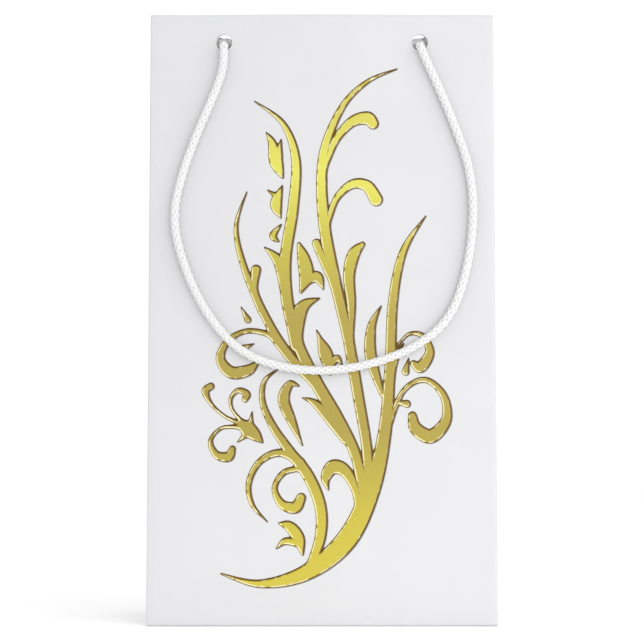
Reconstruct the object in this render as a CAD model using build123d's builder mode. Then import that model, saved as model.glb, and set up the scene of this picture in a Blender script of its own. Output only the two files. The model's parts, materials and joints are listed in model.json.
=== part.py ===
from build123d import *
import math
import os

# Paper gift bag with two rope handles.
# Millimetres, +Z up, the front faces -Y, origin in the middle of the underside.
# The bag is one creased sheet. Each panel between two creases is its own solid, because the
# panels turn about the creases when the bag is folded flat.

# driving dimensions
WIDTH = 115.0  # outside, left to right
DEPTH = 70.0  # outside, front to back
HEIGHT = 203.0
PAPER = 0.3
CREASE_SLIT = 0.1  # from a crease line to the edge of the panel beside it
FOLD_ROOM = 0.3  # from a corner's inner faces to the line that the corner folds about

HEM_DEPTH = 30.0  # the top edge is turned in this far
CARD = 0.5
CARD_HALF = 44.0
HEM_HALF = 52.0
HEM_STEP = 1.0  # the hem comes back to the panel this far past the end of the card
HEM_FROM_CORNER = 4.0
HEM_FROM_PLEAT = 0.5
CARD_TOP_LAP = 0.3  # the card stops this far below the folded edge
CARD_RISE = 2.0  # and starts this far above the hem's lower edge
SEAM_WIDTH = 12.0
SEAM_INSET = 0.4
SEAM_RISE = 1.0  # the seam starts this far above the bottom's upper crease

BASE_CARD = 0.8
FLAP_DEPTH = 42.0  # each long bottom flap passes the middle and laps the other
SIDE_FLAP_DEPTH = 47.0
FLAP_NARROWING = 5.0  # each side flap is this much narrower at its tip, front and back

CORD_RADIUS = 1.5
HOLE_RADIUS = 2.75
HOLE_X = 32.8
HOLE_Z = 193.5
HOLE_START = 1.0  # the holes are cut from this far outside the panel
HOLE_REACH = 4.0  # deeper than the panel, the card and the hem together
SWING_OUT = 2.0  # the handle swings about a line this far outside the panel
SWING_ROOM = 1.9  # from that line to the end of the swinging cord

KNOT_RADIUS = 3.8
KNOT_LENGTH = 6.0
KNOT_ROUNDING = 2.4
KNOT_ROOM = 0.2  # from the hem to the knot
TAIL_LENGTH = 12.0

# the hanging cord as X and Z of its points, from the left hole round to the right one
HANGING_ROUTE = [
    (-32.8, HOLE_Z - SWING_ROOM),
    (-32.7, 184.6),
    (-36.4, 174.4),
    (-42.0, 161.5),
    (-46.9, 147.6),
    (-49.7, 133.4),
    (-45.2, 116.4),
    (-37.8, 101.6),
    (-27.6, 89.8),
    (-14.2, 84.5),
    (0.6, 83.0),
    (15.6, 85.2),
    (30.6, 90.8),
    (42.0, 100.0),
    (47.7, 114.9),
    (50.6, 134.2),
    (49.2, 151.0),
    (44.0, 165.6),
    (38.5, 179.0),
    (34.8, 187.0),
    (33.3, HOLE_Z - SWING_ROOM),
]

half_width = WIDTH / 2
half_depth = DEPTH / 2
inner_x = half_width - PAPER
inner_y = half_depth - PAPER
fold_x = inner_x - FOLD_ROOM
fold_y = inner_y - FOLD_ROOM
hem_bottom = HEIGHT - HEM_DEPTH
crease_z = half_depth  # the bottom folds up behind the bag about this level
swing_y = half_depth + SWING_OUT

os.makedirs("parts", exist_ok=True)


def save(name, built):
    """Label one finished piece and write it."""
    built.part.label = name
    export_step(built.part, f"parts/{name}.step")


def plate(plane, outline, thickness):
    """A flat piece: an outline on a plane, thickened along the plane's normal."""
    with BuildPart() as built:
        with BuildSketch(plane):
            with BuildLine():
                Polyline(*outline, close=True)
            make_face()
        extrude(amount=thickness)
    return built


def block(low, high):
    """A rectangular piece between two corners."""
    with BuildPart() as built:
        with BuildSketch(Plane.XY.offset(low[2])):
            with Locations(((low[0] + high[0]) / 2, (low[1] + high[1]) / 2)):
                Rectangle(high[0] - low[0], high[1] - low[1])
        extrude(amount=high[2] - low[2])
    return built


def punched(built, facing):
    """The same piece with the two cord holes of one side of the bag."""
    outside = Plane(origin=(0, facing * (half_depth + HOLE_START), 0), x_dir=(1, 0, 0), z_dir=(0, facing, 0))
    with BuildPart() as holed:
        add(built.part)
        with BuildSketch(outside):
            with Locations((-HOLE_X, -facing * HOLE_Z), (HOLE_X, -facing * HOLE_Z)):
                Circle(HOLE_RADIUS)
        extrude(amount=-HOLE_REACH, mode=Mode.SUBTRACT)
    return holed


def wall(facing, low_z, high_z):
    """A front (-1) or back (+1) panel, full width, between two levels."""
    near, far = sorted((facing * inner_y, facing * half_depth))
    return block((-half_width, near, low_z), (half_width, far, high_z))


def side_plane(side):
    """The outer face of the left (-1) or right (+1) gusset: sketch X is +Y, sketch Y is +Z."""
    return Plane(origin=(side * half_width, 0, 0), x_dir=(0, 1, 0), z_dir=(1, 0, 0))


def gusset(side, outline):
    """A flat gusset piece, from its outer face inward."""
    return plate(side_plane(side), outline, -side * PAPER)


# panels of the two faces
save("front_panel", punched(wall(-1, 0, HEIGHT), -1))
save("back_panel", punched(wall(1, crease_z + CREASE_SLIT, HEIGHT), 1))
save("back_lower_panel", wall(1, 0, crease_z - CREASE_SLIT))

# gussets: a pleat down the middle, and creases at 45 degrees up from the bottom corners
diagonal_slit = CREASE_SLIT * math.sqrt(2)
corner_rise = half_depth - fold_y
front_outline = [
    (-fold_y, corner_rise + diagonal_slit),
    (-CREASE_SLIT, crease_z - CREASE_SLIT + diagonal_slit),
    (-CREASE_SLIT, HEIGHT),
    (-fold_y, HEIGHT),
]
rear_outline = [
    (CREASE_SLIT, crease_z + CREASE_SLIT),
    (fold_y, crease_z + CREASE_SLIT),
    (fold_y, HEIGHT),
    (CREASE_SLIT, HEIGHT),
]
foot_outline = [
    (-fold_y, 0),
    (fold_y, 0),
    (fold_y, corner_rise - diagonal_slit),
    (0, crease_z - diagonal_slit),
    (-fold_y, corner_rise - diagonal_slit),
]
tuck_outline = [
    (fold_y, corner_rise + diagonal_slit),
    (fold_y, crease_z - CREASE_SLIT),
    (CREASE_SLIT + diagonal_slit, crease_z - CREASE_SLIT),
]
for side, word in ((-1, "left"), (1, "right")):
    save(f"{word}_gusset_front", gusset(side, front_outline))
    save(f"{word}_gusset_rear", gusset(side, rear_outline))
    save(f"{word}_gusset_foot", gusset(side, foot_outline))
    save(f"{word}_gusset_tuck", gusset(side, tuck_outline))

# bottom flaps, outermost first: the long flaps taper at 45 degrees and lap across the middle
lap_y = FLAP_DEPTH - fold_y
tip_x = fold_x - FLAP_DEPTH
front_flap = [(-fold_x, -fold_y), (fold_x, -fold_y), (tip_x, lap_y), (-tip_x, lap_y)]
save("front_bottom_flap", plate(Plane.XY, front_flap, PAPER))

step_y = lap_y + CREASE_SLIT * 2
back_profile = [
    (fold_y, 0),
    (step_y, 0),
    (step_y, PAPER),
    (-lap_y, PAPER),
    (-lap_y, 2 * PAPER),
    (step_y + PAPER, 2 * PAPER),
    (step_y + PAPER, PAPER),
    (fold_y, PAPER),
]
with BuildPart() as back_flap:
    with BuildSketch(Plane.YZ.offset(-fold_x)):
        with BuildLine():
            Polyline(*back_profile, close=True)
        make_face()
    extrude(amount=2 * fold_x)
    with BuildSketch(Plane.XY):
        with BuildLine():
            Polyline((-fold_x, fold_y), (fold_x, fold_y), (tip_x, -lap_y), (-tip_x, -lap_y), close=True)
        make_face()
    extrude(amount=2 * PAPER, mode=Mode.INTERSECT)
save("back_bottom_flap", back_flap)

for side, word in ((-1, "left"), (1, "right")):
    outer, inner = side * fold_x, side * (fold_x - SIDE_FLAP_DEPTH)
    end_y = fold_y - FLAP_NARROWING
    outline = [(outer, -fold_y), (outer, fold_y), (inner, end_y), (inner, -end_y)]
    save(f"{word}_bottom_flap", plate(Plane.XY.offset(2 * PAPER), outline, PAPER))

card_z = 3 * PAPER + CREASE_SLIT / 2
save("base_card", block((-fold_x, -fold_y, card_z), (fold_x, fold_y, card_z + BASE_CARD)))

# the top edge is turned in, over a stiffening card on the front and on the back
for facing, word in ((-1, "front"), (1, "back")):
    panel_y = facing * inner_y
    card_y = facing * (inner_y - CARD)
    hem_y = facing * (inner_y - CARD - PAPER)
    near, far = sorted((panel_y, card_y))
    card = block((-CARD_HALF, near, hem_bottom + CARD_RISE), (CARD_HALF, far, HEIGHT - CARD_TOP_LAP))
    save(f"{word}_top_card", punched(card, facing))
    step_out = CARD_HALF + HEM_STEP
    step_in = step_out + PAPER
    end_y = facing * (inner_y - PAPER)
    hem_outline = [
        (-HEM_HALF, panel_y),
        (-step_out, panel_y),
        (-step_out, card_y),
        (step_out, card_y),
        (step_out, panel_y),
        (HEM_HALF, panel_y),
        (HEM_HALF, end_y),
        (step_in, end_y),
        (step_in, hem_y),
        (-step_in, hem_y),
        (-step_in, end_y),
        (-HEM_HALF, end_y),
    ]
    hem = plate(Plane.XY.offset(hem_bottom), hem_outline, HEM_DEPTH)
    save(f"{word}_hem", punched(hem, facing))

for side, word in ((-1, "left"), (1, "right")):
    near, far = sorted((side * inner_x, side * (inner_x - PAPER)))
    reach = (HEM_FROM_PLEAT, fold_y - HEM_FROM_CORNER)
    front_hem = block((near, -reach[1], hem_bottom), (far, -reach[0], HEIGHT))
    rear_hem = block((near, reach[0], hem_bottom), (far, reach[1], HEIGHT))
    save(f"{word}_gusset_hem_front", front_hem)
    save(f"{word}_gusset_hem_rear", rear_hem)

# the glued joint of the sheet, inside the right gusset beside the back panel
seam_far = fold_y - SEAM_INSET
seam_z = (crease_z + SEAM_RISE, hem_bottom - CREASE_SLIT)
save(
    "seam_flap",
    block((inner_x - PAPER, seam_far - SEAM_WIDTH, seam_z[0]), (inner_x, seam_far, seam_z[1])),
)

# knots: the cord comes through the hole, ends in a round elbow outside, and is tied inside
knot_near = inner_y - CARD - PAPER - KNOT_ROOM
knot_mid = knot_near - KNOT_LENGTH / 2
for facing, face_word in ((-1, "front"), (1, "back")):
    for side, word in ((-1, "left"), (1, "right")):
        out = Plane(
            origin=(side * HOLE_X, facing * knot_near, HOLE_Z),
            x_dir=(1, 0, 0),
            z_dir=(0, facing, 0),
        )
        tail_plane = Plane(origin=(side * HOLE_X, facing * knot_mid, HOLE_Z), z_dir=(0, 0, -1))
        with BuildPart() as knot:
            with BuildSketch(out.offset(-KNOT_LENGTH)):
                Circle(KNOT_RADIUS)
            extrude(amount=KNOT_LENGTH)
            fillet(knot.edges().filter_by(GeomType.CIRCLE), KNOT_ROUNDING)
            with BuildSketch(tail_plane):
                Circle(CORD_RADIUS)
            extrude(amount=KNOT_RADIUS + TAIL_LENGTH)
            with BuildSketch(out.offset(-KNOT_LENGTH / 2)):
                Circle(CORD_RADIUS)
            extrude(amount=swing_y - knot_mid)
            with Locations((side * HOLE_X, facing * swing_y, HOLE_Z)):
                Sphere(CORD_RADIUS)
        save(f"{face_word}_{word}_knot", knot)


def arc_radii(points):
    """The largest arc at each corner that leaves a tenth of the shorter run straight."""
    radii = []
    for before, corner, after in zip(points, points[1:], points[2:]):
        run_in = Vector(corner) - Vector(before)
        run_out = Vector(after) - Vector(corner)
        half_turn = math.radians(run_in.get_angle(run_out) / 2)
        radii.append(0.45 * min(run_in.length, run_out.length) / math.tan(half_turn))
    return radii


# the swinging part of each handle hangs flat against its panel
for facing, word in ((-1, "front"), (1, "back")):
    points = [(x, facing * swing_y, z) for x, z in HANGING_ROUTE]
    radii = arc_radii(points)
    with BuildLine():
        path = FilletPolyline(*points, radius=radii)
    with BuildPart() as handle:
        with BuildSketch(Plane(origin=path @ 0, z_dir=path % 0)):
            Circle(CORD_RADIUS)
        sweep(path=path)
    save(f"{word}_handle_cord", handle)
    whole = math.pi * CORD_RADIUS**2 * path.length
    print(word, "cord: arc radii", [round(radius, 1) for radius in radii])
    print(f"length {path.length:.1f} mm, solid over section times length {handle.part.volume / whole:.4f}")
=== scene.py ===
"""Paper gift bag with two rope handles: the looks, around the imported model.

Metres, +Z up, the front faces -Y. Lengths below are in metres, or in millimetres times MM.
"""
import json
import math

import bmesh
import bpy
import numpy as np
from mathutils import Matrix, Vector


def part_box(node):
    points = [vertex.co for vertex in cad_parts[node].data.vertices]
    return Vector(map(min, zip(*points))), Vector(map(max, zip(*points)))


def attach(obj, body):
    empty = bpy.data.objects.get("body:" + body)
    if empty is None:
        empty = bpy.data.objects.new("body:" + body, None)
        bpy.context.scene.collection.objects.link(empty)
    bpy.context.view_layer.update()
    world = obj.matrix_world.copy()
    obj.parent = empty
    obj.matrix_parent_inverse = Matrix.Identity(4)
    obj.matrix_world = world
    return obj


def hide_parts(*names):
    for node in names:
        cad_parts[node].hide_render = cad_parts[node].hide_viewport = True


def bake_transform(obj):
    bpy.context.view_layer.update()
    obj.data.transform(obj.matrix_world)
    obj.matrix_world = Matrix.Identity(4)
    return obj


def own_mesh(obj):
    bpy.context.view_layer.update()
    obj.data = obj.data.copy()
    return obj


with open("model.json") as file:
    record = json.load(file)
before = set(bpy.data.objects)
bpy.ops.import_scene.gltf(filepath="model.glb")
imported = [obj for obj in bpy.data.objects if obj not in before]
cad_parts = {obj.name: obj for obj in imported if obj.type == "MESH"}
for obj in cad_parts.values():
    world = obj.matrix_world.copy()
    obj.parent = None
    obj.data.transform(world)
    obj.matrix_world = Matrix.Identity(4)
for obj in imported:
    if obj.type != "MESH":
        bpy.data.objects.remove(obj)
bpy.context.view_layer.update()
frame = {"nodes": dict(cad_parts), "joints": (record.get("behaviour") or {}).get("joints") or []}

MM = 0.001
FRONT, BACK = -1, 1
LEFT, RIGHT = -1, 1

# the bag's own sizes, from the frame
low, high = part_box("front_panel")
HALF_WIDTH = high.x
HEIGHT = high.z
HALF_DEPTH = -low.y
CREASE_Z = HALF_DEPTH  # the bottom folds up behind the bag about this level
HEM_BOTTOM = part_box("front_hem")[0].z
CARD_LOW, CARD_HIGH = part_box("front_top_card")
SWING = {j["name"]: Vector(j["pos_m"]) for j in frame["joints"] if "swing" in j["name"]}
HOLE_X = 32.8 * MM
HOLE_Z = SWING["front_handle_swing"].z
HOLE_RADIUS = 2.75 * MM
PAPER = 0.25 * MM
CORD_DIAMETER = 3.0 * MM

BULGE = 1.1 * MM  # how far each face stands out at the middle of its top edge
BULGE_RISE = 1.6  # the power of the height that it grows with
DENT_DEPTH = 0.4 * MM  # the cord's pull leaves a shallow hollow at each hole
DENT_OFFSET = (-7 * MM, -6 * MM)  # its middle, from the hole
DENT_SPREAD = (9 * MM, 7 * MM)
PLEAT_DIP = 0.5 * MM  # how far the pleat of each side draws in


def bulge(facing, x, z):
    """How far outside its flat place a face of the bag stands at (x, z)."""
    across = math.cos(math.pi / 2 * min(1.0, abs(x) / HALF_WIDTH)) ** 2
    up = max(0.0, min(1.0, z / HEIGHT))
    out = BULGE * across * up**BULGE_RISE
    if facing == FRONT:
        out -= dents(x, z)
    return out


def dents(x, z):
    """The shallow hollows that the cord's pull leaves beside each hole."""
    depth = 0.0
    for side in (LEFT, RIGHT):
        dx = (x - side * HOLE_X - DENT_OFFSET[0]) / DENT_SPREAD[0]
        dz = (z - HOLE_Z - DENT_OFFSET[1]) / DENT_SPREAD[1]
        depth += DENT_DEPTH * math.exp(-(dx * dx + dz * dz))
    return depth


# ---------------------------------------------------------------- camera


def make_camera():
    """Straight in front, a little below the middle of the bag and looking up at it."""
    pitch = math.radians(4.7)
    distance = 0.600
    aim_at = Vector((0, -HALF_DEPTH, 99.6 * MM))
    data = bpy.data.cameras.new("camera")
    data.lens = 101.4
    data.clip_start = 0.01
    camera = bpy.data.objects.new("camera", data)
    camera.location = aim_at - distance * Vector((0, math.cos(pitch), math.sin(pitch)))
    camera.rotation_euler = (math.pi / 2 + pitch, 0, 0)
    bpy.context.collection.objects.link(camera)
    bpy.context.scene.camera = camera


make_camera()

# ---------------------------------------------------------------- node helpers


def material(name):
    """A new material with its Principled shader."""
    made = bpy.data.materials.new(name)
    made.use_nodes = True
    return made, made.node_tree, made.node_tree.nodes["Principled BSDF"]


def add_node(tree, kind, **settings):
    """A node of that kind, with its inputs or properties set by name."""
    node = tree.nodes.new(kind)
    for key, value in settings.items():
        if key in node.inputs:
            node.inputs[key].default_value = value
        else:
            setattr(node, key, value)
    return node


def place_texture(tree, stretch=(1, 1, 1)):
    """Object coordinates, stretched: every piece lies in the row frame, so these are in metres."""
    coordinates = add_node(tree, "ShaderNodeTexCoord")
    mapping = add_node(tree, "ShaderNodeMapping")
    mapping.inputs["Scale"].default_value = stretch
    tree.links.new(coordinates.outputs["Object"], mapping.inputs["Vector"])
    return mapping.outputs["Vector"]


def noise(tree, where, scale, detail=3.0, roughness=0.5):
    """A noise texture's factor at those coordinates."""
    node = add_node(tree, "ShaderNodeTexNoise", Scale=scale, Detail=detail, Roughness=roughness)
    tree.links.new(where, node.inputs["Vector"])
    return node.outputs["Fac"]


def spread(tree, value, low_value, high_value, start=0.3, end=0.7):
    """A factor between start and end, turned into a number between two others."""
    node = add_node(tree, "ShaderNodeMapRange")
    sockets = ("From Min", "From Max", "To Min", "To Max")
    for key, number in zip(sockets, (start, end, low_value, high_value)):
        node.inputs[key].default_value = number
    tree.links.new(value, node.inputs["Value"])
    return node.outputs["Result"]


def mix_colours(tree, factor, first, second):
    """A colour between two colours."""
    node = add_node(tree, "ShaderNodeMix", data_type="RGBA")
    sockets = [s for s in node.inputs if s.type == "RGBA"]
    for socket, colour in zip(sockets, (first, second)):
        if isinstance(colour, bpy.types.NodeSocket):
            tree.links.new(colour, socket)
        else:
            socket.default_value = (*colour, 1)
    tree.links.new(factor, node.inputs["Factor"])
    return [s for s in node.outputs if s.type == "RGBA"][0]


def bump(tree, shader, height, distance, strength=1.0, before=None):
    """Bump from a height, on top of an earlier bump if there is one."""
    node = add_node(tree, "ShaderNodeBump", Strength=strength, Distance=distance)
    tree.links.new(height, node.inputs["Height"])
    if before is not None:
        tree.links.new(before.outputs["Normal"], node.inputs["Normal"])
    tree.links.new(node.outputs["Normal"], shader.inputs["Normal"])
    return node


# ---------------------------------------------------------------- materials


def paper_material(name, light, dark, gloss, coat):
    """Bleached kraft: fine fibres in the surface, faint cloudiness, and a satin film outside."""
    made, tree, shader = material(name)
    where = place_texture(tree)
    cloud = noise(tree, where, 38, 4)
    fibre = noise(tree, place_texture(tree, (1, 1, 0.22)), 2600, 5, 0.6)
    tint = mix_colours(tree, spread(tree, cloud, 0, 1), dark, light)
    speck = spread(tree, fibre, 0, 0.35, 0.45, 0.75)
    tree.links.new(mix_colours(tree, speck, tint, dark), shader.inputs["Base Color"])
    tree.links.new(spread(tree, fibre, gloss, gloss + 0.12), shader.inputs["Roughness"])
    shader.inputs["Coat Weight"].default_value = coat
    shader.inputs["Coat Roughness"].default_value = 0.32
    shader.inputs["Specular IOR Level"].default_value = 0.4
    wave = bump(tree, shader, cloud, 0.35 * MM, 0.5)
    bump(tree, shader, fibre, 0.012 * MM, 0.8, wave)
    return made


def board_material():
    """Grey-white pulp board: coarse flecks, matte."""
    made, tree, shader = material("board")
    where = place_texture(tree)
    fleck = noise(tree, where, 900, 6, 0.65)
    cloud = noise(tree, where, 60, 3)
    tint = mix_colours(tree, spread(tree, cloud, 0, 1), (0.70, 0.69, 0.66), (0.76, 0.75, 0.72))
    grey = spread(tree, fleck, 0, 1, 0.58, 0.72)
    tree.links.new(mix_colours(tree, grey, tint, (0.52, 0.50, 0.46)), shader.inputs["Base Color"])
    tree.links.new(spread(tree, cloud, 0.78, 0.92), shader.inputs["Roughness"])
    bump(tree, shader, fleck, 0.05 * MM, 0.7)
    return made


def cord_material():
    """Soft white yarn: fine filaments along each strand, fuzzy and matte."""
    made, tree, shader = material("yarn")
    along = add_node(tree, "ShaderNodeUVMap", uv_map="strand")
    stretched = add_node(tree, "ShaderNodeMapping")
    stretched.inputs["Scale"].default_value = (1, 14, 1)
    tree.links.new(along.outputs["UV"], stretched.inputs["Vector"])
    filament = noise(tree, stretched.outputs["Vector"], 2.6, 3, 0.6)
    fuzz = noise(tree, place_texture(tree), 3200, 4, 0.7)
    thread = mix_colours(tree, spread(tree, filament, 0, 1), (0.70, 0.70, 0.70), (0.78, 0.78, 0.78))
    shade = spread(tree, fuzz, 0, 0.3, 0.4, 0.8)
    tree.links.new(mix_colours(tree, shade, thread, (0.72, 0.72, 0.72)), shader.inputs["Base Color"])
    shader.inputs["Roughness"].default_value = 0.82
    shader.inputs["Sheen Weight"].default_value = 0.35
    shader.inputs["Sheen Roughness"].default_value = 0.5
    shader.inputs["Specular IOR Level"].default_value = 0.25
    line = bump(tree, shader, filament, 0.12 * MM, 0.8)
    bump(tree, shader, fuzz, 0.05 * MM, 0.6, line)
    return made


def gold_material():
    """Hot-stamped foil: smooth gold with a rolled edge. Painted shade darkens the edge where it faces
    right and up, a painted highlight line runs along the opposite edges, and a soft grey painted shadow
    lies on the paper below and right of the foil."""
    made, tree, shader = material("gold_foil")
    where = place_texture(tree)
    split = add_node(tree, "ShaderNodeSeparateXYZ")
    tree.links.new(where, split.inputs["Vector"])
    level = spread(tree, split.outputs["Z"], 0, 1, 0.012, 0.172)
    ramp = add_node(tree, "ShaderNodeValToRGB")
    stops = [
        (0.00, (0.56, 0.47, 0.065)),
        (0.14, (0.53, 0.45, 0.065)),
        (0.32, (0.40, 0.32, 0.075)),
        (0.56, (0.42, 0.335, 0.080)),
        (0.72, (0.55, 0.49, 0.085)),
        (0.86, (0.72, 0.70, 0.130)),
        (1.00, (0.60, 0.54, 0.110)),
    ]
    elements = ramp.color_ramp.elements
    while len(elements) < len(stops):
        elements.new(0.5)
    for element, (position, colour) in zip(elements, stops):
        element.position = position
        element.color = (*colour, 1)
    tree.links.new(level, ramp.inputs["Fac"])
    rim = add_node(tree, "ShaderNodeAttribute", attribute_name="rim").outputs["Fac"]
    # +1 on edges that face right and up, which get painted shade; -1 on those that face left and down,
    # which get a painted highlight line
    shade_side = add_node(tree, "ShaderNodeAttribute", attribute_name="shade_side").outputs["Fac"]
    # painted highlight: a pale line, broken by noise, just inside the edges that face left and down
    glint = add_node(tree, "ShaderNodeMath", operation="ADD")
    tree.links.new(noise(tree, where, 520, 2), glint.inputs[0])
    tree.links.new(spread(tree, shade_side, 0.14, -0.12, -1, 1), glint.inputs[1])
    lit = add_node(tree, "ShaderNodeMath", operation="MULTIPLY")
    tree.links.new(spread(tree, glint.outputs[0], 0, 0.85, 0.47, 0.58), lit.inputs[0])
    tree.links.new(spread(tree, rim, 1, 0, 0.6, 0.9), lit.inputs[1])
    # painted shade: the dark band along the rolled edge is wider on edges facing right and up, narrower
    # on the others
    turned = add_node(tree, "ShaderNodeMath", operation="MULTIPLY_ADD")
    tree.links.new(spread(tree, shade_side, 0.22, -0.3, -1, 1), turned.inputs[0])
    tree.links.new(spread(tree, rim, 1, 0, 0.7, 1), turned.inputs[1])
    tree.links.new(rim, turned.inputs[2])
    roll = turned.outputs[0]
    flat = ramp.outputs["Color"]
    # painted shade along the rolled edge: brown, then near black at the very edge
    body = mix_colours(tree, spread(tree, roll, 0, 1, 0.5, 0.98), (0.27, 0.18, 0.028), flat)
    shine = mix_colours(tree, lit.outputs[0], body, (0.95, 0.90, 0.56))
    edge = mix_colours(tree, spread(tree, roll, 0, 1, 0.3, 0.56), (0.10, 0.055, 0.010), shine)
    # painted shadow: grey on the paper below and right of the foil, darkest at the foil's edge and paler
    # outwards
    printed = spread(tree, rim, 0, 1, -0.12, 0.0)
    grey = mix_colours(tree, spread(tree, rim, 0, 1, -1.0, -0.1), (0.69, 0.69, 0.70), (0.30, 0.29, 0.26))
    tree.links.new(mix_colours(tree, printed, grey, edge), shader.inputs["Base Color"])
    tree.links.new(spread(tree, printed, 0, 0.8, 0, 1), shader.inputs["Metallic"])
    grain = noise(tree, where, 5200, 3)
    tree.links.new(spread(tree, grain, 0.26, 0.34), shader.inputs["Roughness"])
    bump(tree, shader, grain, 0.01 * MM, 0.4)
    return made


outside_paper = paper_material("coated_paper", (0.602, 0.602, 0.614), (0.586, 0.586, 0.598), 0.36, 0.12)
inside_paper = paper_material("plain_paper", (0.70, 0.68, 0.66), (0.66, 0.64, 0.62), 0.62, 0.0)
board = board_material()
yarn = cord_material()
gold = gold_material()

# ---------------------------------------------------------------- mesh helpers


def finished(name, mesh, materials, body, replaced=()):
    """An object of that mesh, riding on its body and standing for its CAD nodes."""
    made = bpy.data.objects.new(name, mesh)
    bpy.context.collection.objects.link(made)
    for one in materials:
        made.data.materials.append(one)
    for polygon in made.data.polygons:
        polygon.use_smooth = True
    if body is not None:
        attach(made, body)
    if replaced:
        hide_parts(*replaced)
    return made


def smooth_line(points, degree=3, closeness=24):
    """Points read along a NURBS line through space whose control points these are."""
    curve = bpy.data.curves.new("line", "CURVE")
    curve.dimensions = "3D"
    curve.resolution_u = closeness
    spline = curve.splines.new("NURBS")
    spline.points.add(len(points) - 1)
    for point, place in zip(spline.points, points):
        point.co = (*place, 1)
    spline.order_u = degree
    spline.use_endpoint_u = True
    holder = bpy.data.objects.new("line", curve)
    bpy.context.collection.objects.link(holder)
    bpy.context.view_layer.update()
    mesh = bpy.data.meshes.new_from_object(holder)
    line = [v.co.copy() for v in mesh.vertices]
    bpy.data.objects.remove(holder)
    bpy.data.curves.remove(curve)
    bpy.data.meshes.remove(mesh)
    return line


def evenly(line, step):
    """The same line at even steps, and its length."""
    points = np.array([tuple(p) for p in line])
    runs = np.linalg.norm(np.diff(points, axis=0), axis=1)
    keep = np.concatenate([[True], runs > 1e-7])
    points = points[keep]
    at = np.concatenate([[0], np.cumsum(np.linalg.norm(np.diff(points, axis=0), axis=1))])
    count = max(2, int(round(at[-1] / step)) + 1)
    wanted = np.linspace(0, at[-1], count)
    return np.stack([np.interp(wanted, at, points[:, k]) for k in range(3)], axis=1), at[-1]


def carried_frames(points):
    """Two directions across a line, at each of its points, that don't twist about it."""
    along = np.gradient(points, axis=0)
    along /= np.linalg.norm(along, axis=1)[:, None]
    first = np.cross(along[0], (0.0, 0.3, 1.0))
    if np.linalg.norm(first) < 0.1:
        first = np.cross(along[0], (1.0, 0.0, 0.0))
    across = np.zeros_like(points)
    across[0] = first / np.linalg.norm(first)
    for k in range(1, len(points)):
        side = across[k - 1] - along[k] * np.dot(across[k - 1], along[k])
        across[k] = side / np.linalg.norm(side)
    return across, np.cross(along, across)


STRANDS_EACH_WAY = 4
BRAID_PITCH = 10.5 * MM
STRAND_SIDES = 7


def braided(name, points, diameter):
    """A round plait: four strands wind each way, over and under each other."""
    points = np.asarray(points)
    radius = diameter / 2
    thick = 0.25 * radius
    wide = 0.43 * radius
    middle = radius - 1.5 * thick
    weave = 0.5 * thick
    across, third = carried_frames(points)
    at = np.concatenate([[0], np.cumsum(np.linalg.norm(np.diff(points, axis=0), axis=1))])
    verts, faces, uvs = [], [], []
    ring = np.linspace(0, 2 * math.pi, STRAND_SIDES, endpoint=False)
    for way in (1, -1):
        for number in range(STRANDS_EACH_WAY):
            turn = way * 2 * math.pi * at / BRAID_PITCH + number * 2 * math.pi / STRANDS_EACH_WAY
            out = middle + way * weave * np.cos(2 * STRANDS_EACH_WAY * math.pi * at / BRAID_PITCH)
            radial = across * np.cos(turn)[:, None] + third * np.sin(turn)[:, None]
            centre = points + radial * out[:, None]
            lead = np.gradient(centre, axis=0)
            lead /= np.linalg.norm(lead, axis=1)[:, None]
            sideways = np.cross(lead, radial)
            start = len(verts)
            for k in range(len(points)):
                for angle in ring:
                    flat = sideways[k] * wide * math.cos(angle) + radial[k] * thick * math.sin(angle)
                    verts.append(centre[k] + flat)
            for k in range(len(points) - 1):
                for j in range(STRAND_SIDES):
                    nxt = (j + 1) % STRAND_SIDES
                    a, b = start + k * STRAND_SIDES, start + (k + 1) * STRAND_SIDES
                    faces.append((a + j, a + nxt, b + nxt, b + j))
                    u, v = at[k] * 1000, at[k + 1] * 1000
                    one, two = j / STRAND_SIDES, (j + 1) / STRAND_SIDES
                    uvs.append(((u, one), (u, two), (v, two), (v, one)))
            last = start + (len(points) - 1) * STRAND_SIDES
            for first, order in ((start, -1), (last, 1)):
                loop = [first + j for j in range(STRAND_SIDES)][::order]
                faces.append(tuple(loop))
                uvs.append(tuple((0.0, 0.0) for _ in loop))
    mesh = bpy.data.meshes.new(name)
    mesh.from_pydata([tuple(v) for v in verts], [], faces)
    layer = mesh.uv_layers.new(name="strand")
    layer.data.foreach_set("uv", np.array([c for face in uvs for corner in face for c in corner]))
    return mesh


# ---------------------------------------------------------------- handles

# the same route as the CAD cord's, X and Z in metres, from the left hole to the right one
HANGING_ROUTE = [
    (-0.0328, 0.1916),
    (-0.0327, 0.1846),
    (-0.0364, 0.1744),
    (-0.0420, 0.1615),
    (-0.0469, 0.1476),
    (-0.0497, 0.1334),
    (-0.0452, 0.1164),
    (-0.0378, 0.1016),
    (-0.0276, 0.0898),
    (-0.0142, 0.0845),
    (0.0006, 0.0830),
    (0.0156, 0.0852),
    (0.0306, 0.0908),
    (0.0420, 0.1000),
    (0.0477, 0.1149),
    (0.0506, 0.1342),
    (0.0492, 0.1510),
    (0.0440, 0.1656),
    (0.0385, 0.1790),
    (0.0348, 0.1870),
    (0.0333, 0.1916),
]
CORD_Z_IN_HOLE = HOLE_Z - HOLE_RADIUS + CORD_DIAMETER / 2 + 0.1 * MM
CORD_GAP = 0.15 * MM
INSIDE_HEM = 1.6 * MM  # from a face's outer side to just inside its hem
KNOT_TIGHTNESS = 0.9  # the cord's thickness in the knot, as a share of its own


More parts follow.
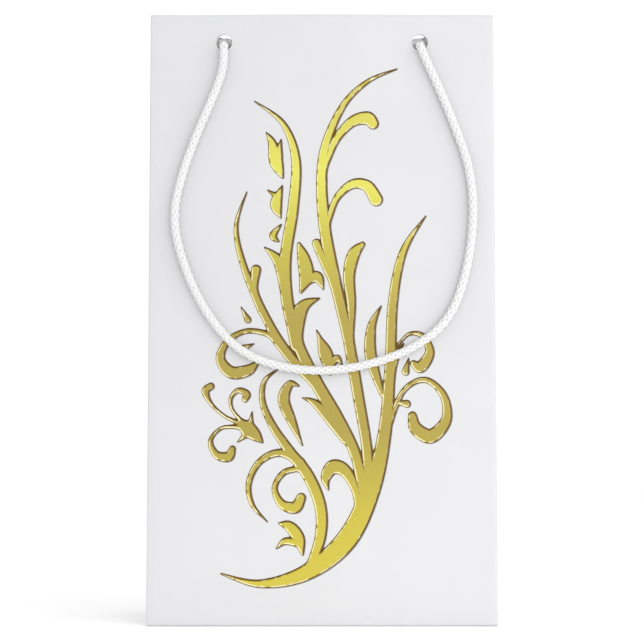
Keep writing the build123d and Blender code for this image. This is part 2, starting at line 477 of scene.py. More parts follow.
def handle(facing, word):
    """One rope handle: out of one hole, down, round and back in at the other."""

    def hung(x, z):
        return facing * (HALF_DEPTH + bulge(facing, x, z) + CORD_DIAMETER / 2 + CORD_GAP)

    exits = []
    for side in (LEFT, RIGHT):
        x = side * HOLE_X
        face = HALF_DEPTH + bulge(facing, x, HOLE_Z)
        exits.append([
            Vector((x, facing * (face - INSIDE_HEM), CORD_Z_IN_HOLE)),
            Vector((x, facing * (face + 0.2 * MM), CORD_Z_IN_HOLE + 0.1 * MM)),
            Vector((x, facing * (face + 1.8 * MM), CORD_Z_IN_HOLE - 0.3 * MM)),
        ])
    route = [Vector((x, hung(x, z), z)) for x, z in HANGING_ROUTE[1:-1]]
    control = exits[0] + route + exits[1][::-1]
    line, length = evenly(smooth_line(control), 0.42 * MM)
    mesh = braided(f"{word}_handle", line, CORD_DIAMETER)
    made = finished(f"{word}_handle", mesh, [yarn], None, [f"{word}_handle_cord"])
    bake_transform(made)
    return made, control, line, length


def knot_line(turned):
    """An overhand knot in its own frame: the cord comes in along +Y and the tail hangs in -Z."""
    size = 1.12 * MM
    depth = 3.0 * MM
    rise = 1.2 * MM  # the knot sits against the middle of the hole
    lead = [Vector((0, 0, 0)), Vector((0, 1.0 * MM, 0))]
    loops = []
    count = 16
    for k in range(count + 1):
        t = math.radians(32 + (360 - 54) * k / count)
        wide = (2 + math.cos(3 * t)) * size
        angle = 2 * t + turned
        up = rise + wide * math.sin(angle)
        loops.append(Vector((wide * math.cos(angle), depth + size * math.sin(3 * t), up)))
    end = loops[-1]
    tail = [
        Vector((end.x * 0.8, depth + 1.2 * MM, -5.5 * MM)),
        Vector((end.x * 0.7 + 0.6 * MM, depth + 0.6 * MM, -10.0 * MM)),
        Vector((end.x * 0.7 - 0.4 * MM, depth + 0.9 * MM, -15.5 * MM)),
    ]
    return lead + loops + tail


def knot(facing, side, face_word, word):
    """The knot and tail of one cord end, inside the bag."""
    x = side * HOLE_X
    inside = HALF_DEPTH + bulge(facing, x, HOLE_Z) - INSIDE_HEM
    place = Matrix.Translation((x, facing * inside, CORD_Z_IN_HOLE))
    place = place @ Matrix.Diagonal((side, -facing, 1, 1))
    control = [place @ p for p in knot_line(math.radians(100))]
    line, _ = evenly(smooth_line(control), 0.45 * MM)
    mesh = braided(f"{face_word}_{word}_tied_end", line, KNOT_TIGHTNESS * CORD_DIAMETER)
    node = f"{face_word}_{word}_knot"
    body = {FRONT: "front", BACK: "back"}[facing]
    made = finished(f"{face_word}_{word}_tied_end", mesh, [yarn], body, [node])
    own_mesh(made)
    return made


for facing, word in ((FRONT, "front"), (BACK, "back")):
    rope, control, line, length = handle(facing, word)
    tied = [knot(facing, side, word, side_word) for side, side_word in ((LEFT, "left"), (RIGHT, "right"))]
    print(f"{word} handle {length / MM:.1f} mm")
    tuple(control[0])
    [tuple(p) for p in line]

# ---------------------------------------------------------------- the folded sheet

FOLD = 0.5 * MM  # radius of the paper's middle at the corners and along the bottom
FLAT_HALF = HALF_WIDTH - PAPER / 2 - FOLD  # a face is flat out to here, then turns its corner
FLAT_TOP = HEIGHT - 1.4 * MM  # a face runs straight up to here, then turns in
FLAT_FOOT = FOLD + PAPER / 2
PATCH = 6.0 * MM  # half the square of mesh around a hole
PATCH_CELLS = 8
CREASE_GAP = 0.05 * MM
CARD_THICKNESS = 0.47 * MM
CARD_SETBACK = 0.265 * MM  # from a face's inner side to the middle of its card
HEM_OVER_CARD = 0.775 * MM  # from the middle of the outer paper to the middle of the hem
HEM_CLOSE = 0.27 * MM  # the same where there is no card between them
CUT_EDGE = 0.06 * MM  # softening of a cut edge


def blend_between(first, second, share):
    """A value part of the way between two others."""
    return first + (second - first) * share


def eased(value, start, end):
    """0 before start, 1 after end, smooth between."""
    t = max(0.0, min(1.0, (value - start) / (end - start)))
    return t * t * (3 - 2 * t)


def steps(start, end, size):
    """Even values from start to end, no further apart than size, without the end."""
    count = max(1, math.ceil(abs(end - start) / size - 1e-9))
    return [start + (end - start) * k / count for k in range(count)]


def hem_gap(x):
    """From the middle of the outer paper to the middle of the hem: wider over the card."""
    past_card = eased(abs(x), CARD_HIGH.x + 0.5 * MM, CARD_HIGH.x + 4 * MM)
    return blend_between(HEM_OVER_CARD, HEM_CLOSE, past_card)


def face_point(facing, u, row):
    """A point of the middle of a front or back sheet. row is (part of the sheet, place in it)."""
    part, value = row
    side = math.copysign(1, u)
    corner = max(0.0, abs(u) - FLAT_HALF) / FOLD  # angle round the upright corner
    x_out = side * (min(abs(u), FLAT_HALF) + FOLD * math.sin(corner))
    x_in = side * (min(abs(u), FLAT_HALF) - 0.25 * MM + 0.1 * MM * corner)
    n_out = -PAPER / 2 - FOLD * (1 - math.cos(corner))
    n_in = -PAPER / 2 - hem_gap(u)
    if part == "foot":
        x, n = x_out, n_out - FOLD * (1 - math.cos(value))
        z = PAPER / 2 + FOLD * (1 - math.sin(value))
    elif part == "outer":
        x, n, z = x_out, n_out, value
    elif part == "turn":
        radius = hem_gap(u) / 2
        share = (1 - math.cos(value)) / 2
        x = blend_between(x_out, x_in, share)
        n = blend_between(n_out, n_in, share)
        z = HEIGHT - PAPER / 2 - radius + radius * math.sin(value)
    else:
        x, n, z = x_in, n_in, value
    return Vector((x, facing * (HALF_DEPTH + n + bulge(facing, x, z)), z))


def thickened(mesh, thickness, outward, materials):
    """A mesh given its thickness, its first face turned to look outward."""
    for one in materials:
        mesh.materials.append(one)
    mesh.update()
    if mesh.polygons[0].normal.dot(outward) < 0:
        mesh.flip_normals()
    holder = bpy.data.objects.new("sheet", mesh)
    bpy.context.collection.objects.link(holder)
    solid = holder.modifiers.new("thickness", "SOLIDIFY")
    solid.thickness = thickness
    solid.offset = 0
    solid.use_even_offset = True
    solid.material_offset = len(materials) - 1
    bpy.context.view_layer.update()
    thick = bpy.data.meshes.new_from_object(holder.evaluated_get(bpy.context.evaluated_depsgraph_get()))
    bpy.data.objects.remove(holder)
    thick.set_sharp_from_angle(angle=math.radians(50))
    return thick


def sheet_mesh(name, columns, rows, place, holes=()):
    """A grid of columns by rows, each point put by place(column, row). A hole is (first column,
    first row, middle column value, middle row value): a square patch of cells whose rings of
    points close in on a circle."""
    verts = [place(u, row) for row in rows for u in columns]
    wide = len(columns)
    skipped = set()
    faces = []
    for c0, r0, middle_u, middle_z in holes:
        skipped |= {(c0 + i, r0 + j) for i in range(PATCH_CELLS) for j in range(PATCH_CELLS)}
        edge = [(c0 + i, r0) for i in range(PATCH_CELLS)]
        edge += [(c0 + PATCH_CELLS, r0 + j) for j in range(PATCH_CELLS)]
        edge += [(c0 + PATCH_CELLS - i, r0 + PATCH_CELLS) for i in range(PATCH_CELLS)]
        edge += [(c0, r0 + PATCH_CELLS - j) for j in range(PATCH_CELLS)]
        loop = [r * wide + c for c, r in edge]
        for share in (0.3, 0.55, 0.75, 0.9, 1.0):
            inner = []
            for c, r in edge:
                part, z = rows[r]
                du, dz = columns[c] - middle_u, z - middle_z
                size = math.hypot(du, dz)
                ring_u = middle_u + blend_between(du, du / size * HOLE_RADIUS, share)
                ring_z = middle_z + blend_between(dz, dz / size * HOLE_RADIUS, share)
                inner.append(len(verts))
                verts.append(place(ring_u, (part, ring_z)))
            for k in range(len(edge)):
                nxt = (k + 1) % len(edge)
                faces.append((loop[k], loop[nxt], inner[nxt], inner[k]))
            loop = inner
    for r in range(len(rows) - 1):
        for c in range(wide - 1):
            if (c, r) not in skipped:
                a = r * wide + c
                faces.append((a, a + 1, a + wide + 1, a + wide))
    mesh = bpy.data.meshes.new(name)
    mesh.from_pydata([tuple(v) for v in verts], [], faces)
    return mesh


def face_columns():
    """X of a face's mesh lines: close round the corners and the holes."""
    hole_line = [PATCH * (2 * k / PATCH_CELLS - 1) for k in range(PATCH_CELLS)]
    half = [HOLE_X + d for d in hole_line]
    half += steps(HOLE_X + PATCH, FLAT_HALF, 3 * MM)
    half += [FLAT_HALF + FOLD * math.pi / 2 * k / 4 for k in range(5)]
    middle = steps(-(HOLE_X - PATCH), HOLE_X - PATCH, 3 * MM)[1:]
    return [-x for x in reversed(half)] + middle + half


def patch_rows(part):
    """The rows that cross the holes, from the lower to the upper."""
    return [(part, HOLE_Z + PATCH * (2 * k / PATCH_CELLS - 1)) for k in range(PATCH_CELLS + 1)]


def turned_hem_rows(with_patch):
    """The rows over the top edge and down the inside to the hem's cut edge."""
    rows = [("turn", math.pi * k / 8) for k in range(1, 8)]
    rows.append(("inner", FLAT_TOP))
    upper = HOLE_Z + PATCH if with_patch else FLAT_TOP
    if with_patch:
        rows += patch_rows("inner")[::-1]
        upper = HOLE_Z - PATCH
    rows += [("inner", z) for z in steps(upper, HEM_BOTTOM, 3 * MM)[1:]]
    return rows + [("inner", HEM_BOTTOM)]


def hole_places(columns, rows, part):
    """For each hole in that part of a sheet: its first column and row, and its middle."""
    edges = patch_rows(part)
    first_row = min(rows.index(edges[0]), rows.index(edges[-1]))
    places = []
    for side in (LEFT, RIGHT):
        first = min(range(len(columns)), key=lambda c: abs(columns[c] - (side * HOLE_X - PATCH)))
        places.append((first, first_row, side * HOLE_X, HOLE_Z))
    return places


def face_sheet(name, facing, start_rows, body, nodes):
    """A punched face of the bag and its turned-in hem, as one piece of paper."""
    columns = face_columns()
    rows = start_rows + patch_rows("outer") + [("outer", FLAT_TOP)] + turned_hem_rows(True)
    holes = hole_places(columns, rows, "outer") + hole_places(columns, rows, "inner")
    mesh = sheet_mesh(name, columns, rows, lambda u, row: face_point(facing, u, row), holes)
    thick = thickened(mesh, PAPER, Vector((0, facing, 0)), [outside_paper, inside_paper])
    return finished(name, thick, (), body, nodes)


foot_rows = [("foot", math.pi / 2 * k / 4) for k in range(4, 0, -1)]
rise = [("outer", z) for z in steps(FLAT_FOOT, HOLE_Z - PATCH, 3 * MM)]
face_sheet("front_sheet", FRONT, foot_rows + rise, "front", ["front_panel", "front_hem"])

above_crease = [("outer", z) for z in steps(CREASE_Z + CREASE_GAP, HOLE_Z - PATCH, 3 * MM)]
face_sheet("back_sheet", BACK, above_crease, "back", ["back_panel", "back_hem"])

below_crease = [("outer", z) for z in steps(0.02 * MM, CREASE_Z - CREASE_GAP, 4 * MM)]
below_crease.append(("outer", CREASE_Z - CREASE_GAP))
lower_columns = [x for x in face_columns() if abs(x) <= FLAT_HALF]
lower_columns = [-HALF_WIDTH + 0.02 * MM] + lower_columns + [HALF_WIDTH - 0.02 * MM]


def lower_point(x, row):
    """A point of the middle of the lower back panel, which ends square at the corners."""
    return Vector((x, HALF_DEPTH - PAPER / 2 + bulge(BACK, x, row[1]), row[1]))


lower_mesh = sheet_mesh("back_lower_sheet", lower_columns, below_crease, lower_point)
lower = thickened(lower_mesh, PAPER, Vector((0, 1, 0)), [outside_paper, inside_paper])
lower_sheet = finished("back_lower_sheet", lower, (), "back_lower", ["back_lower_panel"])


def lean(sheet):
    """Gives a sheet its own copy of its mesh."""
    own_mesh(sheet)


lean(lower_sheet)


def stiffener(facing, word):
    """The card between a face and its hem."""
    columns = [x for x in face_columns() if abs(x) < CARD_HIGH.x - MM]
    columns = [-CARD_HIGH.x] + columns + [CARD_HIGH.x]
    rows = [("card", z) for z in steps(CARD_LOW.z, HOLE_Z - PATCH, 4 * MM)]
    rows += patch_rows("card") + [("card", CARD_HIGH.z - 0.2 * MM)]
    depth = HALF_DEPTH - PAPER - CARD_SETBACK

    def place(u, row):
        return Vector((u, facing * (depth + bulge(facing, u, row[1])), row[1]))

    mesh = sheet_mesh(f"{word}_stiffener", columns, rows, place, hole_places(columns, rows, "card"))
    thick = thickened(mesh, CARD_THICKNESS, Vector((0, facing, 0)), [board])
    body = {FRONT: "front", BACK: "back"}[facing]
    finished(f"{word}_stiffener", thick, (), body, [f"{word}_top_card"])


stiffener(FRONT, "front")
stiffener(BACK, "back")


def pleat_dip(y, z):
    """How far a gusset stands inside its flat place: the pleat draws in above the bottom."""
    return PLEAT_DIP * (1 - abs(y) / HALF_DEPTH) * eased(z, CREASE_Z, 3.5 * CREASE_Z)


def gusset_point(side, y, row, foot_z):
    """A point of the middle of a gusset sheet. An outer row's value is its share of the height."""
    part, value = row
    if part == "outer":
        inward, z = 0.0, blend_between(foot_z(y), FLAT_TOP, value)
    elif part == "turn":
        inward = HEM_CLOSE * (1 - math.cos(value)) / 2
        z = HEIGHT - PAPER / 2 - HEM_CLOSE / 2 + HEM_CLOSE / 2 * math.sin(value)
    else:
        inward, z = HEM_CLOSE, value
    return Vector((side * (HALF_WIDTH - PAPER / 2 - inward - pleat_dip(y, z)), y, z))


GUSSET_END = FLAT_HALF - HALF_WIDTH + HALF_DEPTH  # the faces' rounded corners start here
rise_shares = [("outer", share) for share in steps(0, 1, 0.025)] + [("outer", 1.0)]
gusset_rows = rise_shares + turned_hem_rows(False)


def gusset(side, word, half, ys, foot_z):
    """One half of a pleated side, with its turned-in hem."""
    name = f"{word}_gusset_sheet_{half}"
    mesh = sheet_mesh(name, ys, gusset_rows, lambda y, row: gusset_point(side, y, row, foot_z))
    thick = thickened(mesh, PAPER, Vector((side, 0, 0)), [outside_paper, inside_paper])
    nodes = [f"{word}_gusset_{half}", f"{word}_gusset_hem_{half}"]
    finished(name, thick, (), f"{word}_{half}", nodes)


def plate(outline, side, word, kind):
    """A flat piece of a gusset's lower end, its outline in Y and Z, with softened edges."""
    name = f"{word}_{kind}_sheet"
    bm = bmesh.new()
    ring = [bm.verts.new((side * HALF_WIDTH, y, z)) for y, z in outline]
    bottom = bm.faces.new(ring)
    grown = bmesh.ops.extrude_face_region(bm, geom=[bottom])
    moved = [v for v in grown["geom"] if isinstance(v, bmesh.types.BMVert)]
    bmesh.ops.translate(bm, verts=moved, vec=(-side * PAPER, 0, 0))
    bmesh.ops.recalc_face_normals(bm, faces=bm.faces)
    bmesh.ops.bevel(bm, geom=list(bm.edges), offset=CUT_EDGE, segments=2, affect="EDGES")
    mesh = bpy.data.meshes.new(name)
    bm.to_mesh(mesh)
    bm.free()
    mesh.set_sharp_from_angle(angle=math.radians(50))
    return finished(name, mesh, [outside_paper], f"{word}_{kind}", [f"{word}_gusset_{kind}"])


near_pleat = 0.04 * MM
diagonal = 0.07 * MM
half_ys = steps(near_pleat, GUSSET_END, 3 * MM) + [GUSSET_END]
REAR_END = HALF_DEPTH - PAPER - 0.01 * MM  # the lower back panel ends square
foot_outline = [
    (-GUSSET_END, 0.02 * MM),
    (REAR_END, 0.02 * MM),
    (REAR_END, HALF_DEPTH - REAR_END - diagonal),
    (0, CREASE_Z - diagonal),
    (-GUSSET_END, HALF_DEPTH - GUSSET_END - diagonal),
]
tuck_outline = [
    (REAR_END, HALF_DEPTH - REAR_END + diagonal),
    (REAR_END, CREASE_Z - CREASE_GAP),
    (CREASE_GAP + diagonal, CREASE_Z - CREASE_GAP),
]
for side, word in ((LEFT, "left"), (RIGHT, "right")):
    gusset(side, word, "rear", half_ys, lambda y: CREASE_Z + CREASE_GAP)
    front_ys = [-y for y in reversed(half_ys)]
    gusset(side, word, "front", front_ys, lambda y: CREASE_Z + y + diagonal)
    foot = plate(foot_outline, side, word, "foot")
    lean(foot)
    tuck = plate(tuck_outline, side, word, "tuck")
    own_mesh(tuck)


def seam():
    """The glued overlap of the sheet's two ends, inside the right gusset."""
    seam_low, seam_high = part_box("seam_flap")
    ys = steps(seam_low.y, seam_high.y, 3 * MM) + [seam_high.y]
    rows = [("outer", z) for z in steps(seam_low.z, seam_high.z, 5 * MM)] + [("outer", seam_high.z)]

    def place(y, row):
        x = HALF_WIDTH - PAPER * 1.5 - 0.02 * MM - pleat_dip(y, row[1])
        return Vector((x, y, row[1]))

    mesh = sheet_mesh("seam_sheet", ys, rows, place)
    thick = thickened(mesh, PAPER, Vector((-1, 0, 0)), [inside_paper])
    finished("seam_sheet", thick, (), "right_rear", ["seam_flap"])


seam()

# the flat pieces of the bottom keep their CAD shape
for word in ("front", "back", "left", "right"):
    flap = frame["nodes"][f"{word}_bottom_flap"]
    for slot_on_flap in flap.material_slots:
        slot_on_flap.material = outside_paper
for slot_on_card in frame["nodes"]["base_card"].material_slots:
    slot_on_card.material = board

# ---------------------------------------------------------------- the foil scroll

SCROLL_GRID = 0.25  # millimetres, like every number of the scroll
FOIL_HEIGHT = 0.2
FOIL_START = 0.02  # the foil's edge stands this far above the paper
FOIL_ROOT = 0.05  # and its closed underside lies this deep in it
FOIL_ROLL = 0.8  # width of the rolled-over edge
FILLET = 0.3  # how softly strokes run into each other
PAINTED_SHADOW_SHIFT = (0.5, -0.5)  # where the painted shadow of the edge falls, right of and below it
# the ring of painted shadow lies this far above the paper
PAINTED_SHADOW_ABOVE = 0.01
SHADE_SIDE = (0.8, 0.6)  # edges that look this way, right and up, get painted shade; those that look the other way get a painted highlight line

# each stroke runs through (x, height above the floor, half width)
SCROLL = [
    # main stem, from its low left tip up to the right
    [(-33, 17, 0.3), (-20, 13.8, 1.4), (-5, 17.5, 2.7), (8, 28, 3.5), (16, 44, 3.1), (20.5, 62, 2.3),
     (22.5, 84, 1.9), (23.5, 106, 1.7), (27, 123, 1.3), (34.5, 135, 0.2)],
    # tall middle stem and its tendril
    [(15, 40, 2), (15, 56, 1.8), (12, 75, 1.9), (8.5, 95, 1.9), (4, 115, 2), (0.5, 135, 2),
     (0.5, 155, 1.7), (6.5, 171, 1.2), (15, 180, 0.8), (25, 184.5, 0.25)],
    # tall left stem
    [(14, 42, 1.8), (11, 56, 1.9), (5, 68, 2.2), (-2, 80, 2.2), (-8, 93, 1.9), (-11.5, 107, 2.1),
     (-12, 121, 2), (-9.5, 138, 1.9), (-8.7, 154, 1.6), (-13, 166, 1), (-22.5, 173.5, 0.25)],
    # leaves of the middle stem
    [(0.6, 149, 0.5), (2, 154, 1.1), (5, 161, 1.4), (10, 166.5, 1.8), (15, 167.8, 2.3), (17, 166, 2)],
    [(1, 129, 0.5), (2.4, 134, 1), (5, 141, 1.2), (10, 145.5, 1.6), (15, 145, 2), (18, 140.5, 2.3)],
    [(4, 112, 1.2), (0.6, 120, 1.5), (-1.8, 125.8, 1.5)],
    [(9.5, 92, 0.8), (9.8, 105, 1.5), (9, 115, 2), (10.5, 122, 2.1), (13.5, 125.5, 0.9)],
    # trumpet and flowers of the left stem
    [(-8.5, 92, 2), (-8.5, 99, 2.8), (-6, 105, 2), (-0.8, 107.5, 0.25)],
    [(-7, 109.5, 0.5), (-5.2, 115, 2.4), (-6, 120.5, 2.2), (-7.6, 125.5, 0.7)],
    [(-5, 113, 1), (-1.6, 114.6, 1.9), (0.4, 110.5, 0.3)],
    [(-12.5, 112, 1.6), (-14.6, 120, 1.8), (-19, 124.4, 0.3)],
    [(-14.5, 126.5, 0.4), (-16.2, 128.4, 1.3), (-13.6, 132, 0.3)],
    [(-13.8, 134.5, 0.4), (-15.2, 139, 2), (-13.2, 145, 0.3)],
    [(-15, 141.5, 1), (-18, 143.5, 0.3)],
    [(-13.2, 148, 0.6), (-15.2, 153, 2.3), (-16.6, 159.5, 1.4), (-18.6, 163, 0.2)],
    [(-14.6, 155, 1.6), (-13.6, 160.5, 0.3)],
    # bud between the two tall stems
    [(2.5, 82.5, 0.6), (1.4, 88.5, 2.4), (-0.6, 94, 0.9), (-1.8, 97, 0.2)],
    [(3, 85, 1), (5, 87.6, 1.2), (6.6, 85.4, 0.25)],
    # leaf, thorn and hooks of the main stem
    [(19.8, 76, 1), (16.2, 88, 2), (16.4, 98, 1.5), (19.6, 105, 0.2)],
    [(22.5, 82, 1.4), (24.6, 88, 1), (27, 92.5, 0.2)],
    [(22.5, 67, 1), (27, 77, 0.9), (34, 80.5, 1), (40, 75.5, 1.3), (41, 67.5, 1.8), (36, 62, 2.4),
     (31, 64.4, 2.2), (29.8, 68.6, 1.5)],
    [(24, 90.5, 0.4), (28.5, 95.5, 0.6), (33.3, 95, 1), (35.6, 89.6, 1.6), (32.6, 84.8, 2),
     (30.2, 86, 1)],
    # sprig on the left, its volute and drops
    [(-3, 80, 1.6), (-12, 90, 1.8), (-19, 102, 1.5), (-25.5, 117, 1.2), (-28.5, 131, 0.8),
     (-25, 143, 0.2)],
    [(-20.3, 103, 0.8), (-22.2, 110.5, 1.1), (-21.8, 117, 1.7)],
    [(-14, 92, 1.2), (-18, 95.6, 1), (-25, 96.6, 0.9), (-31, 93.4, 1.1), (-33.5, 87.6, 1.6),
     (-30, 83, 2.1), (-24.5, 83.6, 1.9), (-21.5, 86, 0.8)],
    [(-24.5, 100.4, 1.2), (-26.8, 104.6, 0.2)],
    [(-26, 91, 1.1), (-22.5, 92.4, 0.2)],
    # second sweep and its two curls
    [(-4, 19, 1.4), (-0.5, 29, 1.9), (-0.5, 39, 2), (-4.5, 49, 2), (-10.5, 57, 1.7), (-16, 65, 1.4),
     (-19.5, 73, 1.1), (-19, 80, 0.8), (-14.5, 84, 0.2)],
    [(-7, 53.5, 1.3), (-14, 56.5, 1.3), (-20.5, 53.5, 1.1), (-24, 46.5, 1), (-22.8, 39.5, 0.8),
     (-18, 34, 0.25)],
    [(-6.5, 51.5, 1), (-12.5, 50, 1), (-15.5, 45, 1), (-13.2, 39.8, 1.5), (-8.8, 38.6, 2),
     (-6.8, 41.8, 1.6)],
    [(-6.5, 59, 0.3), (-10, 67, 1.6), (-12.6, 74, 2), (-10.6, 79, 1.3), (-7.8, 78.6, 0.4)],
    # hook and thorned leaf at the foot of the left stem
    [(12.5, 36, 1.2), (11, 44.5, 1.5), (7.6, 50.6, 2.1), (3.6, 51.8, 2.4), (1.2, 48.2, 1.6),
     (2, 44.6, 0.4)],
    [(7.5, 61, 1.5), (2, 68.5, 1.9), (-2.6, 73, 1.2), (-6.5, 74.5, 0.2)],
    # flower on the far left, with three tendrils
    [(-19.6, 60, 0.4), (-22, 62.4, 2), (-24.4, 64.4, 2.5), (-26.6, 66, 1.4)],
    [(-23.6, 65, 1.2), (-23, 70, 0.2)],
    [(-24.6, 62.8, 1.2), (-27.8, 60, 0.2)],
    [(-26.5, 66, 0.8), (-32, 68.5, 0.6), (-36.5, 72.6, 0.7), (-38.4, 76.6, 1.3), (-36.6, 78.4, 1.2)],
    [(-26, 66.5, 0.7), (-29.4, 70.5, 0.6), (-30, 74.4, 0.7), (-27.6, 77, 0.9), (-24.8, 75.8, 1.3),
     (-25.4, 74, 1)],
    [(-27, 65, 0.8), (-33, 64.6, 0.6), (-36.6, 60.6, 0.8), (-34.8, 56, 1.3), (-30.8, 55.2, 1.7),
     (-29.4, 57.8, 1.1)],
    # palmette low on the left
    [(-6.4, 23.4, 0.5), (-7.6, 28.6, 2), (-10.6, 32.4, 1.8), (-14.2, 33.4, 0.3)],
    [(-8, 27, 1.3), (-12, 27.6, 1.2), (-15, 25.2, 0.2)],
    # drops on the right
    [(27.6, 83.2, 1.3), (28.6, 87.6, 0.2)],
    [(28, 72.6, 1.3), (25.4, 73, 0.6)],
]


def scroll_line(points):
    """A smooth line through (x, z, half width) points, closely sampled."""
    padded = [points[0], *points, points[-1]]
    line = []
    for a, b, c, d in zip(padded, padded[1:], padded[2:], padded[3:]):
        a, b, c, d = (np.array(p, dtype=float) for p in (a, b, c, d))
        count = max(8, int(np.linalg.norm(c[:2] - b[:2]) / 0.12))
        for t in np.arange(count) / count:
            bend = (2 * a - 5 * b + 4 * c - d) * t**2 + (3 * b - a - 3 * c + d) * t**3
            line.append(0.5 * (2 * b + (c - a) * t + bend))
    line.append(np.array(points[-1], dtype=float))
    return line


def scroll_field():
    """How far inside the outline each point of a grid lies, and how much its edge faces right and up, the
    way whose edges get painted shade; and the grid's corner."""
    strokes = []
    for points in SCROLL:
        samples = np.array(scroll_line(points))
        samples[:, 2] = np.maximum(samples[:, 2], 0.16)
        strokes.append(samples)
    everything = np.concatenate(strokes)
    corner = np.floor(everything[:, :2].min(axis=0)) - 8
    cells = np.ceil((everything[:, :2].max(axis=0) + 8 - corner) / SCROLL_GRID).astype(int)
    total = np.zeros((cells[0] + 1, cells[1] + 1))
    for samples in strokes:
        field = np.full(total.shape, -6.0)
        for x, z, radius in samples:
            reach = radius + 1.6
            i0 = int((x - reach - corner[0]) / SCROLL_GRID)
            i1 = int((x + reach - corner[0]) / SCROLL_GRID) + 2
            j0 = int((z - reach - corner[1]) / SCROLL_GRID)
            j1 = int((z + reach - corner[1]) / SCROLL_GRID) + 2
            across = corner[0] + np.arange(i0, i1) * SCROLL_GRID - x
            up = corner[1] + np.arange(j0, j1) * SCROLL_GRID - z
            inside = radius - np.hypot(across[:, None], up[None, :])
            field[i0:i1, j0:j1] = np.maximum(field[i0:i1, j0:j1], inside)
        total += np.exp(field / FILLET)
    field = FILLET * np.log(total)
    field[np.abs(field) < 0.004] = 0.004
    slope_x, slope_z = np.gradient(field)
    shade_side = -(SHADE_SIDE[0] * slope_x + SHADE_SIDE[1] * slope_z) / np.maximum(np.hypot(slope_x, slope_z), 1e-6)
    return field, shade_side, corner


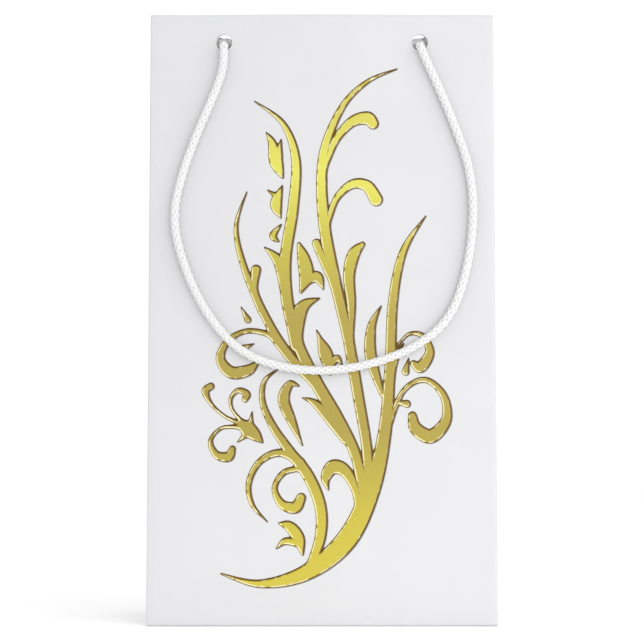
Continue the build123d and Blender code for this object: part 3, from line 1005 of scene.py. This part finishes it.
def foil_scroll():
    """The scroll as a thin raised foil that follows the bulge of the front."""
    field, shade_side, corner = scroll_field()
    flat = []  # (x, z, how far inside, how much it faces right and up, where the painted shade goes)
    known = {}

    def corner_point(i, j):
        key = (i, j)
        if key not in known:
            known[key] = len(flat)
            x = corner[0] + i * SCROLL_GRID
            z = corner[1] + j * SCROLL_GRID
            flat.append((x, z, field[i, j], shade_side[i, j]))
        return known[key]

    def crossing(a, b):
        key = (min(a, b), max(a, b))
        if key not in known:
            share = field[a] / (field[a] - field[b])
            known[key] = len(flat)
            x = corner[0] + (a[0] + (b[0] - a[0]) * share) * SCROLL_GRID
            z = corner[1] + (a[1] + (b[1] - a[1]) * share) * SCROLL_GRID
            flat.append((x, z, 0.0, shade_side[a] + (shade_side[b] - shade_side[a]) * share))
        return known[key]

    faces = []
    inside = field > 0
    touched = inside[:-1, :-1] | inside[1:, :-1] | inside[:-1, 1:] | inside[1:, 1:]
    for i, j in zip(*(axis.tolist() for axis in np.nonzero(touched))):
        ring = [(i, j), (i + 1, j), (i + 1, j + 1), (i, j + 1)]
        face = []
        for a, b in zip(ring, ring[1:] + ring[:1]):
            if inside[a]:
                face.append(corner_point(*a))
            if inside[a] != inside[b]:
                face.append(crossing(a, b))
        faces.append(face)
    edges = {}
    for face in faces:
        for a, b in zip(face, face[1:] + face[:1]):
            edges[(a, b)] = True
    skirt = [(b, a) for a, b in edges if (b, a) not in edges]
    under = {}
    verts, rims, sides = [], [], []

    def on_front(x, z, above):
        y = FRONT * (HALF_DEPTH + bulge(FRONT, x * MM, z * MM) + above * MM)
        return (x * MM, y, z * MM)

    for x, z, depth, side in flat:
        roll = 1 - min(1.0, depth / FOIL_ROLL)
        verts.append(on_front(x, z, FOIL_START + FOIL_HEIGHT * math.sqrt(max(0.0, 1 - roll * roll))))
        rims.append(min(1.0, depth / FOIL_ROLL))
        sides.append(side)
    # a ring of painted shadow on the paper, shifted right and down from the foil's edge
    shadow = {}
    for k in sorted({a for a, b in skirt}):
        shadow[k] = len(verts)
        verts.append(on_front(flat[k][0] + PAINTED_SHADOW_SHIFT[0], flat[k][1] + PAINTED_SHADOW_SHIFT[1], PAINTED_SHADOW_ABOVE))
    for k, (x, z, *_) in enumerate(flat):
        under[k] = len(verts)
        verts.append(on_front(x + PAINTED_SHADOW_SHIFT[0], z + PAINTED_SHADOW_SHIFT[1], -FOIL_ROOT))
    closed = list(faces)
    closed += [[under[k] for k in reversed(face)] for face in faces]
    for a, b in skirt:
        closed.append([a, b, shadow[b], shadow[a]])
        closed.append([shadow[a], shadow[b], under[b], under[a]])
    mesh = bpy.data.meshes.new("foil_scroll")
    mesh.from_pydata(verts, [], closed)
    mesh.update()
    unrolled = len(verts) - len(flat)
    for key, values, rest in (("rim", rims, -1.0), ("shade_side", sides, 0.0)):
        attribute = mesh.attributes.new(key, "FLOAT", "POINT")
        attribute.data.foreach_set("value", values + [rest] * unrolled)
    bm = bmesh.new()
    bm.from_mesh(mesh)
    bmesh.ops.recalc_face_normals(bm, faces=bm.faces)
    bm.to_mesh(mesh)
    bm.free()
    mesh.set_sharp_from_angle(angle=math.radians(60))
    finished("foil_scroll", mesh, [gold], "front")


foil_scroll()

# ---------------------------------------------------------------- floor, backdrop and light


def floor():
    """A wide pale floor that runs on as far as the camera sees."""
    bpy.ops.mesh.primitive_plane_add(size=12, location=(0, 0, -0.05 * MM))
    ground = bpy.context.object
    ground.name = "floor"
    made, _, shader = material("floor")
    shader.inputs["Base Color"].default_value = (0.97, 0.97, 0.97, 1)
    shader.inputs["Roughness"].default_value = 0.9
    shader.inputs["Specular IOR Level"].default_value = 0.1
    ground.data.materials.append(made)


def sky(strength):
    """An even white surround."""
    world = bpy.data.worlds.new("surround")
    bpy.context.scene.world = world
    world.use_nodes = True
    world.node_tree.nodes["Background"].inputs["Color"].default_value = (1, 1, 1, 1)
    world.node_tree.nodes["Background"].inputs["Strength"].default_value = strength


def soft_light(name, place, size, watts):
    """A square area light turned towards the middle of the bag."""
    data = bpy.data.lights.new(name, "AREA")
    data.size = size
    data.energy = watts
    lamp = bpy.data.objects.new(name, data)
    lamp.location = place
    lamp.rotation_euler = (Vector((0, 0, 0.1)) - Vector(place)).to_track_quat("-Z", "Y").to_euler()
    bpy.context.collection.objects.link(lamp)


def pool(place, aim, watts):
    """A cone of light on the floor in front of the bag, so that the floor lights its lower part."""
    data = bpy.data.lights.new("pool", "SPOT")
    data.energy = watts
    data.spot_size = math.radians(38)
    data.spot_blend = 1.0
    data.shadow_soft_size = 0.05
    lamp = bpy.data.objects.new("pool", data)
    lamp.location = place
    lamp.rotation_euler = (Vector(aim) - Vector(place)).to_track_quat("-Z", "Y").to_euler()
    bpy.context.collection.objects.link(lamp)


floor()
sky(strength=1.07)
soft_light("key", place=(0.45, -0.5, 0.2), size=0.7, watts=2.0)
pool(place=(0.1, -0.5, 0.5), aim=(0.02, -0.22, 0), watts=6.5)
bpy.context.scene.view_settings.view_transform = "Standard"
